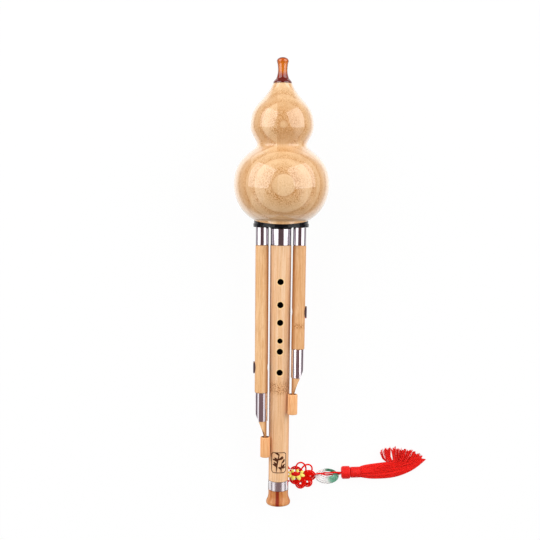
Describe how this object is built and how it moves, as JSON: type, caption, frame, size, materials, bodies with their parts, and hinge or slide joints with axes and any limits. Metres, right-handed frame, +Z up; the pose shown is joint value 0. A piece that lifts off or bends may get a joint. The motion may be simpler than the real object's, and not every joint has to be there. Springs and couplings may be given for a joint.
{
  "type": "hulusi gourd flute",
  "caption": "Free-reed gourd pipe: a hollow double-bulb gourd with a mouthpiece, a fingered bamboo pipe between two drones, and a knotted red tassel.",
  "frame": {"origin": "on the floor under the middle of the instrument, the tassel left out", "axes": "+Y toward the mouthpiece along the instrument's length, +Z up out of the finger holes, +X to the side where the tassel lies"},
  "size_m": [0.1842, 0.4188, 0.0878],
  "materials": {
    "lacquered_bamboo": "clear lacquer",
    "bamboo": "satin varnish",
    "cap_wood": "satin varnish",
    "bell_wood": "gloss varnish",
    "plug_wood": "bare",
    "resin": "polished",
    "black_plastic": "moulded",
    "chrome": "polished plate",
    "brass": "drawn",
    "bronze": "filed",
    "cork": "cork sheet",
    "red_cord": "knotting cord",
    "yellow_thread": "wound thread",
    "milky_glass": "polished"
  },
  "bodies": {
    "gourd": {"gourd_body": "lacquered_bamboo", "base_plug": "plug_wood", "base_cover": "black_plastic", "collar_main": "black_plastic", "collar_left": "black_plastic", "collar_right": "black_plastic", "reed_tube_main": "brass", "tube_stopper_main": "cork", "tenon_cork_main": "cork", "reed_plate_main": "bronze", "reed_tube_left": "brass", "tube_stopper_left": "cork", "tenon_cork_left": "cork", "reed_plate_left": "bronze", "reed_tube_right": "brass", "tube_stopper_right": "cork", "tenon_cork_right": "cork", "reed_plate_right": "bronze"},
    "mouthpiece": {"mouthpiece": "resin", "mouthpiece_cork": "cork"},
    "main_pipe": {"main_pipe": "bamboo", "ferrule_main": "chrome", "bell_ring": "chrome", "bell": "bell_wood", "tie_cord": "red_cord", "knot_loops": "red_cord", "knot_flower": "yellow_thread", "hanging_cord_over": "red_cord", "hanging_cord_under": "red_cord", "glass_ring": "milky_glass", "tassel_head": "red_cord", "tassel_binding": "red_cord", "tassel_skirt": "red_cord"},
    "drone_left": {"ferrule_left": "chrome", "drone_pipe_left": "bamboo", "eyelet_left": "chrome", "quill_sleeve_left": "chrome"},
    "cap_left": {"tip_cap_left": "cap_wood"},
    "drone_right": {"ferrule_right": "chrome", "drone_pipe_right": "bamboo", "eyelet_right": "chrome", "quill_sleeve_right": "chrome"},
    "cap_right": {"tip_cap_right": "cap_wood"},
    "reed_main": {"reed_tongue_main": "bronze"},
    "reed_left": {"reed_tongue_left": "bronze"},
    "reed_right": {"reed_tongue_right": "bronze"}
  },
  "joints": [
    {"name": "mouthpiece_pull", "type": "slide", "parent": "gourd", "child": "mouthpiece", "axis": [0, 0.9942, 0.1077], "range_m": [0, 0.013]},
    {"name": "main_pipe_pull", "type": "slide", "parent": "gourd", "child": "main_pipe", "axis": [0, -0.9942, -0.1077], "range_m": [0, 0.012]},
    {"name": "drone_left_pull", "type": "slide", "parent": "gourd", "child": "drone_left", "axis": [0.0026, -0.9974, -0.0721], "range_m": [0, 0.01]},
    {"name": "drone_right_pull", "type": "slide", "parent": "gourd", "child": "drone_right", "axis": [-0.0061, -0.9984, -0.0564], "range_m": [0, 0.01]},
    {"name": "cap_left_pull", "type": "slide", "parent": "drone_left", "child": "cap_left", "axis": [0.0026, -0.9974, -0.0721], "range_m": [0, 0.005]},
    {"name": "cap_right_pull", "type": "slide", "parent": "drone_right", "child": "cap_right", "axis": [-0.0061, -0.9984, -0.0564], "range_m": [0, 0.005]},
    {"name": "reed_main_flex", "type": "hinge", "parent": "gourd", "child": "reed_main", "pos_m": [0, 0.10112, 0.04996], "axis": [1, 0, 0], "range_deg": [-2, 2], "stiffness_Nm_per_rad": 0.02},
    {"name": "reed_left_flex", "type": "hinge", "parent": "gourd", "child": "reed_left", "pos_m": [-0.01762, 0.10211, 0.04621], "axis": [1, 0.0026, 0.0002], "range_deg": [-2, 2], "stiffness_Nm_per_rad": 0.01},
    {"name": "reed_right_flex", "type": "hinge", "parent": "gourd", "child": "reed_right", "pos_m": [0.01779, 0.10255, 0.03939], "axis": [-1, 0.0061, 0.0003], "range_deg": [-2, 2], "stiffness_Nm_per_rad": 0.01}
  ]
}
